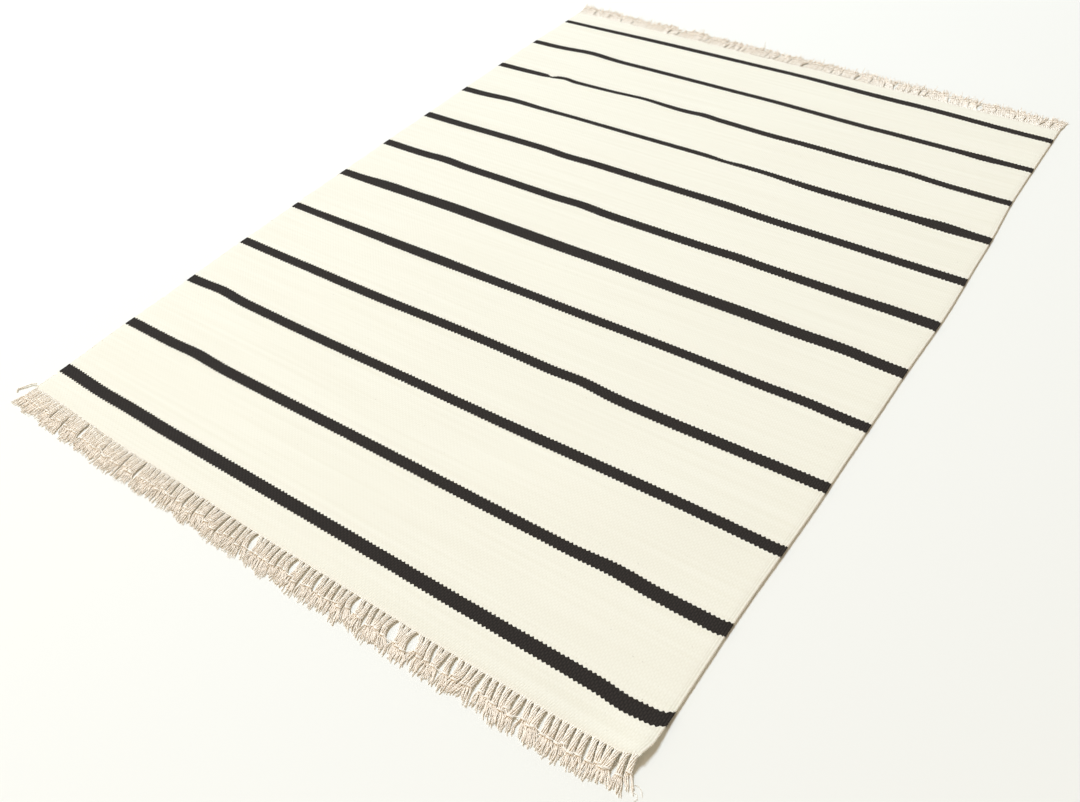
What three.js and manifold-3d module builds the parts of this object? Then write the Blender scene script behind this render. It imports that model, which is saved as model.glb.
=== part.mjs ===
// A flat-woven dhurrie rug lying on a floor: one weft-faced wool cloth on cotton warps, whose warp ends
// are left as a fringe of tied locks at both ends. One corner of the near end curls up.
// Millimetres, +Z up, the floor at Z = 0. X runs across the rug and Y from its near end to its far end.
import * as THREE from "three";
import Module from "manifold-3d";

const wasm = await Module();
wasm.setup();

// Cloth: the widest place, the length along the middle, and where the middle of that length lies
const FIELD_WIDTH = 1746;
const FIELD_LENGTH = 2377;
const FIELD_THICKNESS = 6;
const FIELD_CENTRE_Y = -9;
const FIELD_COLUMNS = 48;
const FIELD_ROWS = 36;

// How far each selvedge draws in from the widest place, at a share of the length from the near end
const SELVEDGES = [
  { at: 0.0, left: 26, right: 20 },
  { at: 0.12, left: 17, right: 17 },
  { at: 0.3, left: 6, right: 9 },
  { at: 0.45, left: 2, right: 6 },
  { at: 0.58, left: 0, right: 0 },
  { at: 0.7, left: 0, right: 5 },
  { at: 0.83, left: 1, right: 15 },
  { at: 1.0, left: 11, right: 11 },
];

// How far each end stands out past half the length, at a share of the width from the left
const ENDS = [
  { at: 0.0, near: -22, far: 21 },
  { at: 0.25, near: -8, far: 11 },
  { at: 0.5, near: 0, far: 0 },
  { at: 0.75, near: 1, far: -11 },
  { at: 0.9, near: -3, far: -19 },
  { at: 47 / 48, near: -9, far: -22 },
  { at: 1.0, near: -20, far: -23 },
];

// Soft ripples that stand off the floor: the middle, the half length and half width, the turn and the height
const RIPPLES = [
  { x: 520, y: -740, long: 400, wide: 150, turn: 12, high: 6 },
  { x: -330, y: -470, long: 460, wide: 150, turn: -6, high: 4 },
  { x: 300, y: -80, long: 480, wide: 160, turn: 7, high: 5 },
  { x: -380, y: 430, long: 420, wide: 150, turn: -5, high: 4 },
  { x: 180, y: 760, long: 480, wide: 170, turn: 8, high: 5 },
];

// The near right corner is worn round and curls up from the floor
const CURL_HEIGHT = 12;
const CURL_REACH = 140;

// Fringe: the strip that holds the roots, and the locks along it
const ROOT_GAP = 0.3;
const ROOT_STRIP_WIDTH = 7;
const ROOT_STRIP_HEIGHT = 5;
const ROOT_STRIP_STEPS = FIELD_COLUMNS;
const LOCK_COUNT = 108;
const LOCK_TOP_SHARE = 0.6;
const LOCK_LENGTH_SPREAD = 6;
const PARTING_REACH = 40;
const SETTLED_SHARE = 0.6;

// Sections of one lock: a share of its length from the root, the width and the height there
const LOCK_SECTIONS = [
  { out: 0.0, wide: 11.0, high: 4.6 },
  { out: 0.28, wide: 9.5, high: 5.0 },
  { out: 0.56, wide: 8.0, high: 4.6 },
  { out: 0.8, wide: 10.5, high: 3.0 },
  { out: 1.0, wide: 8.0, high: 1.4 },
];

// The two fringes. A sweep leans the locks near a share of the width sideways, and fades over its reach.
// A parting leans the locks on both sides of a share of the width away from each other.
const FRINGES = [
  {
    name: "fringe_near",
    outward: -1,
    length: 72,
    seed: 11,
    sweeps: [
      { at: 0.0, lean: -14, reach: 0.1 },
      { at: 0.2, lean: 7, reach: 0.08 },
      { at: 0.6, lean: 6, reach: 0.12 },
      { at: 1.0, lean: 16, reach: 0.1 },
    ],
    partings: [
      { at: 0.13, open: 4 },
      { at: 0.37, open: 4 },
      { at: 0.43, open: 5 },
      { at: 0.468, open: 4 },
      { at: 0.546, open: 6 },
      { at: 0.65, open: 5 },
      { at: 0.716, open: 6 },
      { at: 0.81, open: 6 },
      { at: 0.9, open: 3 },
    ],
  },
  {
    name: "fringe_far",
    outward: 1,
    length: 66,
    seed: 29,
    sweeps: [
      { at: 0.04, lean: -6, reach: 0.08 },
      { at: 0.4, lean: 7, reach: 0.15 },
      { at: 0.75, lean: -6, reach: 0.12 },
      { at: 1.0, lean: 8, reach: 0.07 },
    ],
    partings: [
      { at: 0.1, open: 4 },
      { at: 0.22, open: 5 },
      { at: 0.35, open: 4 },
      { at: 0.52, open: 5 },
      { at: 0.63, open: 4 },
      { at: 0.86, open: 5 },
    ],
  },
];

const wool = new THREE.MeshStandardMaterial({ color: 0xf3eedf, roughness: 0.95, metalness: 0 });
const cotton = new THREE.MeshStandardMaterial({ color: 0xdccdb8, roughness: 0.95, metalness: 0 });

// A small repeatable source of numbers from 0 to 1
function seededRandom(seed) {
  let state = seed;
  return () => {
    state = (state * 16807) % 2147483647;
    return state / 2147483647;
  };
}

// The value of one column of a table at a share, eased from each row to the next
function eased(table, column, share) {
  const next = Math.max(1, table.findIndex((row) => row.at >= share));
  const before = table[next - 1];
  const after = table[next];
  const step = THREE.MathUtils.smoothstep(share, before.at, after.at);
  return THREE.MathUtils.lerp(before[column], after[column], step);
}

// The height of the cloth's underside above the floor
function lift(x, y) {
  let height = 0;
  for (const ripple of RIPPLES) {
    const turn = THREE.MathUtils.degToRad(ripple.turn);
    const along = (x - ripple.x) * Math.cos(turn) + (y - ripple.y) * Math.sin(turn);
    const across = (y - ripple.y) * Math.cos(turn) - (x - ripple.x) * Math.sin(turn);
    const away = (along / ripple.long) ** 2 + (across / ripple.wide) ** 2;
    height += ripple.high * Math.max(0, 1 - away) ** 2;
  }
  const corner = outlinePoint(1, 0);
  const distance = Math.hypot(x - corner.x, y - corner.y);
  return height + CURL_HEIGHT * Math.max(0, 1 - distance / CURL_REACH) ** 2;
}

// A place on the cloth, from shares of its width and its length
function outlinePoint(across, along) {
  const left = -FIELD_WIDTH / 2 + eased(SELVEDGES, "left", along);
  const right = FIELD_WIDTH / 2 - eased(SELVEDGES, "right", along);
  const near = FIELD_CENTRE_Y - FIELD_LENGTH / 2 - eased(ENDS, "near", across);
  const far = FIELD_CENTRE_Y + FIELD_LENGTH / 2 + eased(ENDS, "far", across);
  return new THREE.Vector2(
    THREE.MathUtils.lerp(left, right, across),
    THREE.MathUtils.lerp(near, far, along),
  );
}

// A closed surface through rings of equal size. Each ring lists its lower points from left to right and then
// its upper points from right to left, as seen by someone who looks the way that the rings advance.
function loft(rings) {
  const size = rings[0].length;
  const half = size / 2;
  const last = (rings.length - 1) * size;
  const triangles = [];
  for (let start = 0; start < last; start += size) {
    for (let i = 0; i < size; i++) {
      const a = start + i;
      const b = start + ((i + 1) % size);
      triangles.push(a, a + size, b + size, a, b + size, b);
    }
  }
  for (let i = 0; i < half - 1; i++) {
    const [a, b, c, d] = [i, i + 1, size - 2 - i, size - 1 - i];
    triangles.push(a, b, c, a, c, d);
    triangles.push(last + a, last + c, last + b, last + a, last + d, last + c);
  }
  const geometry = new THREE.BufferGeometry().setFromPoints(rings.flat());
  return geometry.setIndex(triangles);
}

// A four-sided ring: the left and right ends of its lower side, and the same for its upper side
function fourSided(lowLeft, lowRight, highRight, highLeft) {
  return [lowLeft, lowRight, highRight, highLeft].map((corner) => new THREE.Vector3(...corner));
}

// The cloth, as one ring of lower and upper points for each row of its grid
function fieldGeometry() {
  const rings = [];
  for (let row = 0; row <= FIELD_ROWS; row++) {
    const lower = [];
    for (let column = 0; column <= FIELD_COLUMNS; column++) {
      const { x, y } = outlinePoint(column / FIELD_COLUMNS, row / FIELD_ROWS);
      lower.push(new THREE.Vector3(x, y, lift(x, y)));
    }
    const upper = lower.map(({ x, y, z }) => new THREE.Vector3(x, y, z + FIELD_THICKNESS));
    rings.push([...lower, ...upper.reverse()]);
  }
  return loft(rings);
}

// Where a fringe meets the cloth, at a share of the width
function fringeEdge(fringe, across) {
  const { x, y } = outlinePoint(across, fringe.outward > 0 ? 1 : 0);
  return new THREE.Vector3(x, y, lift(x, y));
}

// The strip of gathered warps that holds the roots of one fringe
function rootStrip(fringe) {
  const rings = [];
  for (let step = 0; step <= ROOT_STRIP_STEPS; step++) {
    const { x, y, z } = fringeEdge(fringe, step / ROOT_STRIP_STEPS);
    const inner = y + fringe.outward * ROOT_GAP;
    const outer = inner + fringe.outward * ROOT_STRIP_WIDTH;
    const high = Math.max(inner, outer);
    const low = Math.min(inner, outer);
    const top = z + ROOT_STRIP_HEIGHT;
    rings.push(fourSided([x, high, z], [x, low, z], [x, low, top], [x, high, top]));
  }
  return loft(rings);
}

// How far the tip of a lock leans sideways
function tipLean(fringe, across) {
  let lean = 0;
  for (const sweep of fringe.sweeps) {
    lean += sweep.lean * Math.exp(-(((across - sweep.at) / sweep.reach) ** 2));
  }
  for (const parting of fringe.partings) {
    const distance = (across - parting.at) * FIELD_WIDTH;
    lean += parting.open * Math.sign(distance) * Math.exp(-((distance / PARTING_REACH) ** 2));
  }
  return lean;
}

// One lock: it leaves the strip, comes down to the floor and lies level on it
function lockGeometry(fringe, across, length) {
  const edge = fringeEdge(fringe, across);
  const lean = tipLean(fringe, across);
  const rings = LOCK_SECTIONS.map(({ out, wide, high }) => {
    const x = edge.x + lean * out ** 2;
    const y = edge.y + fringe.outward * (ROOT_GAP + ROOT_STRIP_WIDTH / 2 + length * out);
    const floor = edge.z * Math.max(0, 1 - out / SETTLED_SHARE);
    const top = floor + high;
    const low = wide / 2;
    const narrow = low * LOCK_TOP_SHARE;
    return fourSided([x - low, y, floor], [x + low, y, floor], [x + narrow, y, top], [x - narrow, y, top]);
  });
  return loft(fringe.outward > 0 ? rings : rings.reverse());
}

function solidFrom(geometry) {
  return new wasm.Manifold(
    new wasm.Mesh({
      numProp: 3,
      vertProperties: geometry.attributes.position.array,
      triVerts: new Uint32Array(geometry.index.array),
    }),
  );
}

function geometryFrom(solid) {
  const { vertProperties, triVerts } = solid.getMesh();
  return new THREE.BufferGeometry()
    .setAttribute("position", new THREE.BufferAttribute(vertProperties, 3))
    .setIndex(new THREE.BufferAttribute(triVerts, 1));
}

// One fringe: its locks joined to the strip that holds their roots
function fringeGeometry(fringe) {
  const random = seededRandom(fringe.seed);
  let joined = solidFrom(rootStrip(fringe));
  for (let lock = 0; lock < LOCK_COUNT; lock++) {
    const length = fringe.length + LOCK_LENGTH_SPREAD * (2 * random() - 1);
    joined = joined.add(solidFrom(lockGeometry(fringe, (lock + 0.5) / LOCK_COUNT, length)));
  }
  return geometryFrom(joined);
}

function addPiece(group, name, geometry, material) {
  geometry.computeVertexNormals();
  const piece = new THREE.Mesh(geometry, material);
  piece.name = name;
  group.add(piece);
}

const rug = new THREE.Group();
addPiece(rug, "woven_field", fieldGeometry(), wool);
for (const fringe of FRINGES) {
  addPiece(rug, fringe.name, fringeGeometry(fringe), cotton);
}

export default rug;
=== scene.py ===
# A flat-woven dhurrie rug: cream wool weft on cotton warps, black weft bands, tied fringe at both ends.
# Metres, +Z up, the floor at Z = 0. X runs across the rug and Y from its near end to its far end.
import math

import bpy
import numpy as np
from mathutils import Matrix, Vector


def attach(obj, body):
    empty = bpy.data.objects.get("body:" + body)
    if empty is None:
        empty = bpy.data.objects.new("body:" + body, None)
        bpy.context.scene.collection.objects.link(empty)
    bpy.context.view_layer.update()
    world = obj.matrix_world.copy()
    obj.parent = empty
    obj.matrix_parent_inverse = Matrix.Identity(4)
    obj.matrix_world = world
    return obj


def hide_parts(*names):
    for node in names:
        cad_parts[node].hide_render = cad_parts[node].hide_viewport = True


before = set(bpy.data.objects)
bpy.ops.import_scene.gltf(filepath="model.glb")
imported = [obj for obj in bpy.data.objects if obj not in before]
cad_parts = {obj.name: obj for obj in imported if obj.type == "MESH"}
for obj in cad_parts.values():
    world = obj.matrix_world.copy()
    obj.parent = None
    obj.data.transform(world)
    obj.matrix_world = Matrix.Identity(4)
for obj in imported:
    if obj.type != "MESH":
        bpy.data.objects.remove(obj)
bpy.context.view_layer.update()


def mm(*sizes):
    """Millimetres as metres: a number for one size, or a tuple for several."""
    metres = tuple(size / 1000 for size in sizes)
    return metres if len(metres) > 1 else metres[0]


# Cloth: the widest place, the length along the middle, where its middle lies, and the thickness
FIELD_WIDTH = mm(1746)
FIELD_LENGTH = mm(2377)
FIELD_CENTRE_Y = mm(-9)
FIELD_THICKNESS = mm(6)

# How far each selvedge draws in from the widest place, at a share of the length from the near end
SELVEDGES = [
    {"at": 0.0, "left": mm(26), "right": mm(24)},
    {"at": 0.015, "left": mm(26), "right": mm(17)},
    {"at": 0.12, "left": mm(17), "right": mm(17)},
    {"at": 0.3, "left": mm(6), "right": mm(7)},
    {"at": 0.45, "left": mm(2), "right": mm(3)},
    {"at": 0.58, "left": mm(0), "right": mm(-3)},
    {"at": 0.7, "left": mm(0), "right": mm(2)},
    {"at": 0.83, "left": mm(1), "right": mm(13)},
    {"at": 1.0, "left": mm(11), "right": mm(11)},
]

# How far each end stands out past half the length, at a share of the width from the left
ENDS = [
    {"at": 0.0, "near": mm(-18), "far": mm(21)},
    {"at": 0.25, "near": mm(-4), "far": mm(11)},
    {"at": 0.5, "near": mm(4), "far": mm(0)},
    {"at": 0.75, "near": mm(5), "far": mm(-11)},
    {"at": 0.9, "near": mm(3), "far": mm(-19)},
    {"at": 0.98, "near": mm(-1), "far": mm(-22)},
    {"at": 1.0, "near": mm(-11), "far": mm(-23)},
]

# Soft ripples that stand off the floor: the middle, the half length and half width, the turn and the
# height
RIPPLES = [
    {"middle": mm(520, -740), "long": mm(400), "wide": mm(150), "turn": 12, "high": mm(6)},
    {"middle": mm(-330, -470), "long": mm(460), "wide": mm(150), "turn": -6, "high": mm(4)},
    {"middle": mm(300, -80), "long": mm(480), "wide": mm(160), "turn": 7, "high": mm(5)},
    {"middle": mm(-380, 430), "long": mm(420), "wide": mm(150), "turn": -5, "high": mm(4)},
    {"middle": mm(180, 760), "long": mm(480), "wide": mm(170), "turn": 8, "high": mm(5)},
]

# The near right corner is worn round and curls up from the floor
CURL_HEIGHT = mm(11)
CURL_REACH = mm(140)

# Weave: a rib stands over each warp, and the weft shows as beads along it, half a bead lower on every
# other rib. Where two wefts meet, each rib ends in a tooth of uneven size.
WARPS = 350
CREAM_RIB_DEPTH = mm(0.35)
BLACK_RIB_DEPTH = mm(0.8)
BEAD_LENGTH = mm(10.4)
BEAD_DEPTH = mm(0.5)
TOOTH = mm(1.5)
TOOTH_SPREAD = 0.45
TOOTH_SEED = 3

# Mesh of the cloth: the points of a rib and their share of its depth, the rows of a strip, the steps of
# its underside, the height of the seam that closes it, and the rows by the ends, where the cloth gets
# thinner
POINTS_PER_RIB = 3
SHOULDER_DROP = (1.0, 0.12, 0.12)
CREAM_ROWS = 4
BLACK_ROWS = 6
UNDERSIDE_STEPS = 25
SEAM_HEIGHT_SHARE = 0.55
END_ROWS = mm(3, 9)
END_TAPER = mm(1.4)
END_TAPER_REACH = mm(9)

# Selvedges: the side bulges at two shares of the thickness, and the top falls away over the outer ribs
SIDE_SHARES = (0.25, 0.75)
SELVEDGE_BULGE = mm(0.3)
SELVEDGE_DROP = mm(0.9)
SELVEDGE_RIBS = 3

# Wear: where the wool is thin, the beige warp shows through it, at the cloth's ends and on the weft turns
WORN_END_REACH = mm(9)
WORN_END_SHARE = 0.3
WORN_TURN_SHARE = 0.6

# Weft turns: where the weft goes round the outer warp and back, one for each half bead. Each has a size
# between two shares, and all of them take the look of a bead's middle.
TURN_PITCH = BEAD_LENGTH / 2
TURN_INSET = mm(3)
TURN_REACH = mm(3.4)
TURN_HEIGHT = mm(1.5)
TURN_RADIUS = mm(1.2)
TURN_WIDENING = 1.9
TURN_POINTS = 6
TURN_SIDES = 6
TURN_SIZES = (0.88, 1.08)
TURN_SEED = 5
BEAD_MIDDLE = (0.5, 0.5, 0.0)

# Black bands from the near end to the far end: how far each shifts along the rug and how wide it is,
# at five stations across it, and how far its right end hooks towards the far end
FIRST_BAND_Y = mm(-1086.5)
BAND_PITCH = mm(200.4)
STATIONS = mm(-850, -430, 0, 430, 850)
HOOK_REACH = mm(26)
BANDS = [
    {"shift": mm(-11, -20, -21, -24, -24), "width": mm(32, 32, 31, 32, 33), "hook": mm(13)},
    {"shift": mm(-6, -7, -5, -6, -6), "width": mm(30, 30, 29, 28, 34), "hook": mm(5)},
    {"shift": mm(1, -1, 3, 6, 8), "width": mm(30, 29, 28, 31, 29), "hook": mm(3)},
    {"shift": mm(-2, -1, 6, -1, 3), "width": mm(29, 30, 29, 32, 31), "hook": mm(2)},
    {"shift": mm(1, 4, 8, 11, 5), "width": mm(27, 34, 30, 29, 30), "hook": mm(1)},
    {"shift": mm(7, 20, 19, 15, 8), "width": mm(31, 41, 41, 40, 36), "hook": mm(1)},
    {"shift": mm(6, 10, 8, 8, 3), "width": mm(31, 31, 33, 33, 38), "hook": mm(0)},
    {"shift": mm(5, 12, 13, 5, -1), "width": mm(31, 28, 31, 31, 33), "hook": mm(1)},
    {"shift": mm(1, 13, 16, 4, -1), "width": mm(30, 20, 21, 30, 34), "hook": mm(0)},
    {"shift": mm(3, 16, 15, 5, -6), "width": mm(27, 18, 24, 25, 27), "hook": mm(2)},
    {"shift": mm(4, 9, 5, -9, -15), "width": mm(26, 22, 21, 25, 26), "hook": mm(1)},
    {"shift": mm(-4, 1, 0, -14, -32), "width": mm(21, 24, 22, 27, 26), "hook": mm(0)},
]

# Places where a band wavers: its number from the near end, and in millimetres the place across, how far
# that reaches, the shift along the rug and what it adds to the width
WAVER_COLUMNS = ("band", "at", "reach", "shift", "widen")
WAVERS = [
    (0, -720, 100, -4, 0),
    (0, 795, 45, -5, 0),
    (1, -610, 60, 4, 1),
    (1, 625, 70, 5, 2),
    (2, -750, 60, 6, 0),
    (3, -350, 300, -4, 0),
    (3, 270, 60, 6, -1),
    (4, -330, 90, 1, 2),
    (4, 720, 80, 4, 0),
    (5, -700, 80, 3, 6),
    (5, 270, 200, -4, 0),
    (5, 720, 90, 7, 0),
    (6, -640, 60, 5, 2),
    (6, -140, 60, 5, 0),
    (6, 340, 60, 3, 1),
    (6, 770, 90, 3, 0),
    (7, -320, 60, -4, 0),
    (7, 200, 90, 3, 2),
    (8, -680, 90, 8, 0),
    (8, 100, 40, -3, -5),
    (8, 240, 110, 4, -5),
    (8, 750, 60, 2, 10),
    (9, -660, 14, -4, -13),
    (9, -610, 34, 8, -3),
    (9, -300, 90, 9, -2),
    (9, -80, 40, 5, 1),
    (9, 130, 140, -9, 0),
    (9, 575, 70, 5, 0),
    (10, -640, 85, 12, 1),
    (10, 740, 50, -1, 6),
]

# Fringe: corded locks that lie on the floor, tied part way out, with loose yarn past the tie
LOCK_COUNT = 108
LOCK_PITCH = FIELD_WIDTH / LOCK_COUNT
LOCK_CROWDING = 0.07
LOCK_LENGTH_SPREAD = mm(6)
LOCK_SWAY = mm(2.2)
LEAN_SPREAD = mm(9)
LEAN_SHARED_BY = 3
LEAN_CURVE = 1.15
PARTING_REACH = mm(24)
PARTING_SHARE = 0.75
ROOT_TUCK = mm(3)
ROOT_TUCK_SHARE = 0.1
SETTLED_SHARE = 0.5

# Locks are drawn together at their ties, and come apart again past them
MOST_GATHERED = 3
GATHER_SHARE = 0.42
GATHER_FADE = 0.7
GATHER_FADE_REACH = 0.5

# Yarns of a lock: some lie inside the cord and the others round them, with a twist
YARNS_PER_LOCK = 10
INNER_YARNS = 3
INNER_SHARE = 0.4
CORD_POINTS = 8
CORD_TURNS = 0.4
YARN_SIDES = 5
YARN_RADIUS = mm(1.35)

# Loose ends: the share of the lock's length where one stops, how it fans out, strays and lies over
# others, its curl with a range of waves and starts, and how high a wisp can stand
LOOSE_POINTS = 8
LOOSE_STOPS = (0.86, 1.06)
LOOSE_SPREAD = 1.3
LOOSE_SPREAD_SHARE = 0.6
LOOSE_STRAY = mm(2.6)
LOOSE_LAYER = mm(1.3)
LOOSE_LAYER_FADE = 0.5
LOOSE_CURL = mm(1.6)
CURL_WAVES = (4, 8)
CURL_STARTS = (0, 6)
HIGHEST_WISP = mm(18)

# Ties: a short yarn wound round each lock, and yarns that cross from one tie to the next
TIE_SHARE = 0.58
TIE_SHARE_SPREAD = 0.06
TIE_POINTS = 11
TIE_TURNS = 1.7
TIE_ADVANCE = mm(3)
TIE_HEIGHT_SHARE = 0.8
TIE_RADIUS_SHARE = 0.8
BRIDGED_SHARE = 0.45
BRIDGE_POINTS = 7
BRIDGE_OVERLAP = 0.1
BRIDGE_STRAY = mm(2)
BRIDGE_SAG = mm(1.5)

# Sections of one lock: a share of its length from the root, half its width and half its height there,
# to the middle of its outer yarns, and how thick the yarn is there
LOCK_SECTIONS = [
    {"at": 0.0, "wide": mm(6.2), "high": mm(0.9), "yarn": 1.15},
    {"at": 0.02, "wide": mm(5.6), "high": mm(1.1), "yarn": 1.15},
    {"at": 0.07, "wide": mm(3.8), "high": mm(2.0), "yarn": 1.15},
    {"at": 0.35, "wide": mm(4.0), "high": mm(2.1), "yarn": 1.15},
    {"at": 0.53, "wide": mm(4.8), "high": mm(1.7), "yarn": 1.1},
    {"at": 0.62, "wide": mm(5.3), "high": mm(1.5), "yarn": 1.0},
    {"at": 0.7, "wide": mm(5.4), "high": mm(1.2), "yarn": 0.9},
    {"at": 1.1, "wide": mm(5.4), "high": mm(0.5), "yarn": 0.55},
]

# The two fringes. Fullness is how wide the locks are against their sections, across the rug. A sweep
# leans the locks near a share of the width sideways, and fades over its reach. A parting bows the locks
# on both sides of a share of the width away from each other, and they meet again. A split parts the loose
# ends there. A stray thread lies in steps from a corner of the cloth: to the right, outward and up.
NEAR_FRINGE = {
    "name": "near_fringe_yarns",
    "solid": "fringe_near",
    "outward": -1,
    "length": mm(67),
    "fullness": [
        {"at": 0.0, "share": 1.45},
        {"at": 0.25, "share": 1.4},
        {"at": 0.5, "share": 1.15},
        {"at": 0.7, "share": 1.05},
    ],
    "wisp": mm(0.7),
    "seed": 11,
    "sweeps": [
        {"at": 0.0, "lean": mm(-26), "reach": 0.07},
        {"at": 0.444, "lean": mm(-9), "reach": 0.014},
        {"at": 0.5, "lean": mm(15), "reach": 2.0},
        {"at": 0.796, "lean": mm(-14), "reach": 0.013},
        {"at": 1.0, "lean": mm(5), "reach": 0.03},
    ],
    "partings": [
        {"at": 0.131, "open": mm(4)},
        {"at": 0.474, "open": mm(7)},
        {"at": 0.538, "open": mm(8)},
        {"at": 0.581, "open": mm(3)},
        {"at": 0.64, "open": mm(6)},
        {"at": 0.698, "open": mm(6)},
        {"at": 0.723, "open": mm(9)},
        {"at": 0.782, "open": mm(5)},
        {"at": 0.86, "open": mm(3)},
    ],
    "splits": [
        {"at": 0.42, "open": mm(7)},
        {"at": 0.805, "open": mm(10)},
        {"at": 0.923, "open": mm(3)},
    ],
    "strays": [
        {
            "corner": 0.0,
            "thick": 1.5,
            "path": [
                mm(-10, -9, 4), mm(-21, -2, 3), mm(-26, 9, 3),
                mm(-32, 19, 2), mm(-37, 26, 2), mm(-31, 33, 2),
            ],
        },
        {"corner": 1.0, "thick": 0.3, "path": [mm(14, 42, 1), mm(22, 40, 1), mm(30, 44, 2), mm(36, 52, 1)]},
        {"corner": 1.0, "thick": 0.3, "path": [mm(16, 54, 1), mm(26, 53, 2), mm(31, 60, 1), mm(28, 66, 1)]},
    ],
}
FAR_FRINGE = {
    "name": "far_fringe_yarns",
    "solid": "fringe_far",
    "outward": 1,
    "length": mm(66),
    "fullness": [{"at": 0.0, "share": 1.6}, {"at": 1.0, "share": 1.6}],
    "wisp": mm(3.2),
    "seed": 29,
    "sweeps": [
        {"at": 0.0, "lean": mm(-10), "reach": 0.08},
        {"at": 0.4, "lean": mm(7), "reach": 0.15},
        {"at": 0.75, "lean": mm(-6), "reach": 0.12},
        {"at": 1.0, "lean": mm(18), "reach": 0.04},
    ],
    "partings": [
        {"at": 0.1, "open": mm(4)},
        {"at": 0.22, "open": mm(6)},
        {"at": 0.35, "open": mm(4)},
        {"at": 0.52, "open": mm(6)},
        {"at": 0.63, "open": mm(4)},
        {"at": 0.86, "open": mm(6)},
    ],
    "splits": [
        {"at": 0.16, "open": mm(5)},
        {"at": 0.46, "open": mm(6)},
        {"at": 0.7, "open": mm(5)},
    ],
    "strays": [],
}

# Cloth and yarn finishes: the shader's own values
SOFT_SHADER = {"Roughness": 0.95, "Sheen Weight": 0.1, "Sheen Roughness": 0.5, "Specular IOR Level": 0.2}
BLACK_SHADER = {"Roughness": 0.9, "Sheen Weight": 0.03, "Sheen Roughness": 0.4, "Specular IOR Level": 0.2}
WHITE = (1, 1, 1, 1)

# Weave pattern: how round beads and ribs are, the fibres on them, and streaks along the passes of weft
BEAD_ROUNDNESS = 0.5
RIB_ROUNDNESS = 0.6
FIBRE_DETAIL = 2.0
FIBRE_RELIEF = 0.35
STREAK_SCALE = 6.0
STREAK_DETAIL = 4.0
STREAK_STRETCH = (0.35, 16.0, 1.0)
STREAK_RANGE = (0.35, 0.65)

# Cream wool: between the beads, darker as painted shade, and on them, in its streaks, in a few flecks,
# and where the warp shows through
CREAM_PAINTED_SHADE = (0.83, 0.805, 0.685, 1)
CREAM_BEAD = (0.89, 0.87, 0.757, 1)
CREAM_STREAK = (0.965, 0.96, 0.945, 1)
FLECK_COLOUR = (0.42, 0.38, 0.31, 1)
FLECK_SCALE = 190.0
FLECK_DETAIL = 1.0
FLECK_RANGE = (0.75, 0.8)
FLECK_SHARE = 0.4
WORN_COLOUR = (0.90, 0.82, 0.72, 1)
CREAM_FIBRE_SCALE = 900.0
CREAM_BUMP = {"Strength": 0.3, "Distance": mm(0.4)}

# Black wool: between the beads, darker as painted shade, and on them, and its lint
BLACK_PAINTED_SHADE = (0.013, 0.011, 0.0095, 1)
BLACK_BEAD = (0.034, 0.028, 0.024, 1)
LINT_COLOUR = (0.10, 0.09, 0.082, 1)
LINT_RANGE = (0.6, 0.76)
LINT_SHARE = 0.5
BLACK_FIBRE_SCALE = 1100.0
BLACK_BUMP = {"Strength": 0.4, "Distance": mm(0.5)}

# Cotton: by the cloth and at the loose end, the shades from one yarn to the next, and the painted shade
# between the plies
COTTON_ROOT = (0.99, 0.955, 0.87, 1)
COTTON_END = (0.97, 0.895, 0.785, 1)
COTTON_CHANGE = mm(6, 45)
DARK_YARN = (0.95, 0.94, 0.93, 1)
PALE_YARN = (1.02, 1.02, 1.02, 1)
PLY_PAINTED_SHADE = (0.95, 0.93, 0.91, 1)
PLY_PITCH = mm(5)
COTTON_BUMP = {"Strength": 0.25, "Distance": mm(0.3)}

# Camera: where it stands, its heading from +Y towards -X, how far it looks down, its roll, and its lens
CAMERA_PLACE = (1.2550, -1.8742, 1.5999)
CAMERA_HEADING = 38.72
CAMERA_DOWN = 43.89
CAMERA_ROLL = -4.93
CAMERA_LENS = 33.86
CAMERA_SENSOR = 36

# Studio: a pale floor that glows far from the rug, so that it stays pale out to the horizon, a warm light
# from above that is pale near the horizon, a soft lamp far off at the back left that casts the shadows,
# and another at the front left that fills them
FLOOR_SIZE = 30
FLOOR_DROP = mm(0.5)
FLOOR_SHADER = {
    "Base Color": (0.865, 0.87, 0.825, 1),
    "Roughness": 1.0,
    "Specular IOR Level": 0.0,
    "Emission Strength": 1.0,
}
NO_GLOW = (0, 0, 0, 1)
GLOW_COLOUR = (0.42, 0.5, 0.57, 1)
GLOW_REACH = (2.8, 5.5)
HORIZON_COLOUR = (0.92, 0.92, 0.9, 1)
HORIZON_ANGLES = (9, 24)
ROOM_COLOUR = (0.405, 0.317, 0.212, 1)
LAMPS = [
    {
        "name": "key_lamp",
        "place": (-10.2, 3.6, 14.4),
        "size": 5.4,
        "power": 2880,
        "colour": (0.865, 1.0, 1.165),
    },
    {
        "name": "fill_lamp",
        "place": (-3.5, -5.5, 4.0),
        "size": 5.0,
        "power": 100,
        "colour": (1.1, 0.95, 0.75),
    },
]


def eased(table, column, share):
    """One column of a table at shares along it, eased from each row to the next."""
    at = np.array([row["at"] for row in table])
    value = np.array([row[column] for row in table])
    share = np.clip(share, at[0], at[-1])
    after = np.clip(np.searchsorted(at, share), 1, len(at) - 1)
    step = (share - at[after - 1]) / (at[after] - at[after - 1])
    step = step * step * (3 - 2 * step)
    return value[after - 1] + (value[after] - value[after - 1]) * step


def end_lines(across):
    """The near and the far end of the cloth along Y, at shares of its width."""
    near = FIELD_CENTRE_Y - FIELD_LENGTH / 2 - eased(ENDS, "near", across)
    far = FIELD_CENTRE_Y + FIELD_LENGTH / 2 + eased(ENDS, "far", across)
    return near, far


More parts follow.
